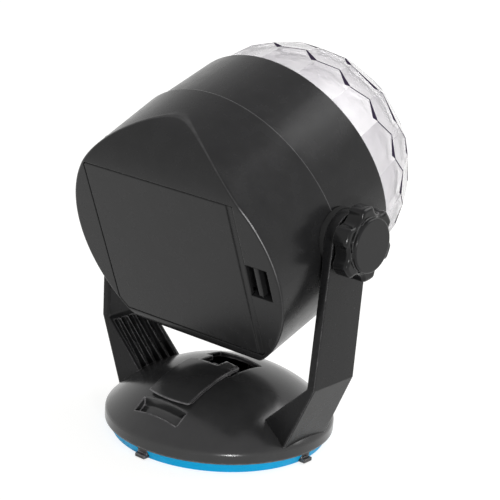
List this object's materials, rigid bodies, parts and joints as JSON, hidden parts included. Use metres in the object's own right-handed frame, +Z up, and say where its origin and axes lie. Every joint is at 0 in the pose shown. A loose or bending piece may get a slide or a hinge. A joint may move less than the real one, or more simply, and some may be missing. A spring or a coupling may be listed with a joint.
{
  "type": "party light",
  "caption": "Portable projector light: a faceted clear dome on a round tilting head, held in a two-armed yoke on a domed suction base with a press-down lever.",
  "frame": {"origin": "centre of the suction cup's resting plane", "axes": "+Z up, +X along the tilt axis towards the knob beside the battery door's latch, +Y the way the beam points"},
  "size_m": [0.1244, 0.115, 0.1405],
  "materials": {
    "black_shell": "fine satin moulded plastic",
    "blue_cup": "soft smooth moulded rubber",
    "clear_dome": "clear faceted plastic, polished",
    "clear_plastic": "clear plastic, polished",
    "plain_steel": "zinc-plated steel",
    "washer_rubber": "dull rubber",
    "inner_plastic": "unpainted moulded plastic",
    "board": "lacquered circuit board",
    "lamp_white": "white lamp body",
    "cell_wrap": "plain wrapped cell"
  },
  "bodies": {
    "stand": {"base_cover": "black_shell", "suction_cup": "blue_cup", "stem_guide": "inner_plastic", "stem_spring": "plain_steel", "guide_screws": "plain_steel", "lever_pin": "plain_steel", "yoke_arm_right": "black_shell", "yoke_arm_left": "black_shell", "arm_screws": "plain_steel", "friction_washer_right": "washer_rubber", "friction_washer_left": "washer_rubber"},
    "lever": {"suction_lever": "black_shell"},
    "stem": {"suction_stem": "inner_plastic", "stem_pin": "plain_steel"},
    "head": {"rear_shell": "black_shell", "front_barrel": "black_shell", "dome_lens": "clear_dome", "batteries": "cell_wrap", "battery_contacts": "plain_steel", "battery_springs": "plain_steel", "shell_screws": "plain_steel", "clamp_nuts": "plain_steel", "main_board": "board", "gear_motor": "inner_plastic", "motor_screws": "plain_steel", "lamp_board": "board", "lamps": "lamp_white", "lamp_lenses": "clear_plastic", "service_board": "board", "power_inlet": "plain_steel", "switch_body": "inner_plastic"},
    "door": {"battery_door": "black_shell"},
    "rotor": {"lens_rotor": "clear_plastic", "motor_shaft": "plain_steel"},
    "slider": {"switch_slider": "black_shell"},
    "knob_right": {"knob_stud_right": "plain_steel", "clamp_knob_right": "black_shell"},
    "knob_left": {"knob_stud_left": "plain_steel", "clamp_knob_left": "black_shell"}
  },
  "joints": [
    {"name": "head_tilt", "type": "hinge", "parent": "stand", "child": "head", "pos_m": [0, 0, 0.086], "axis": [1, 0, 0], "range_deg": [-51.7, 68.3]},
    {"name": "lever_lift", "type": "hinge", "parent": "stand", "child": "lever", "pos_m": [0, -0.0046, 0.0195], "axis": [-1, 0, 0], "range_deg": [0, 32]},
    {"name": "stem_slide", "type": "slide", "parent": "stand", "child": "stem", "axis": [0, 0, -1], "range_m": [0, 0.00264], "deforming": ["suction_cup", "stem_spring"]},
    {"name": "door_swing", "type": "hinge", "parent": "head", "child": "door", "pos_m": [-0.0355, -0.02916, 0.07246], "axis": [0, 0.3697, -0.9291], "range_deg": [0, 15]},
    {"name": "rotor_spin", "type": "hinge", "parent": "head", "child": "rotor", "pos_m": [0, 0.00067, 0.08433], "axis": [0, 0.9291, 0.3697], "continuous": true},
    {"name": "switch_slide", "type": "slide", "parent": "head", "child": "slider", "axis": [1, 0, 0], "range_m": [0, 0.003]},
    {"name": "clamp_turn_right", "type": "hinge", "parent": "stand", "child": "knob_right", "pos_m": [0, 0, 0.086], "axis": [1, 0, 0], "range_deg": [0, 360]},
    {"name": "clamp_turn_left", "type": "hinge", "parent": "stand", "child": "knob_left", "pos_m": [0, 0, 0.086], "axis": [-1, 0, 0], "range_deg": [0, 360]}
  ],
  "couplings": [
    {"joint": "lever_lift", "follows": "stem_slide", "rad_per_m": 211.7}
  ]
}
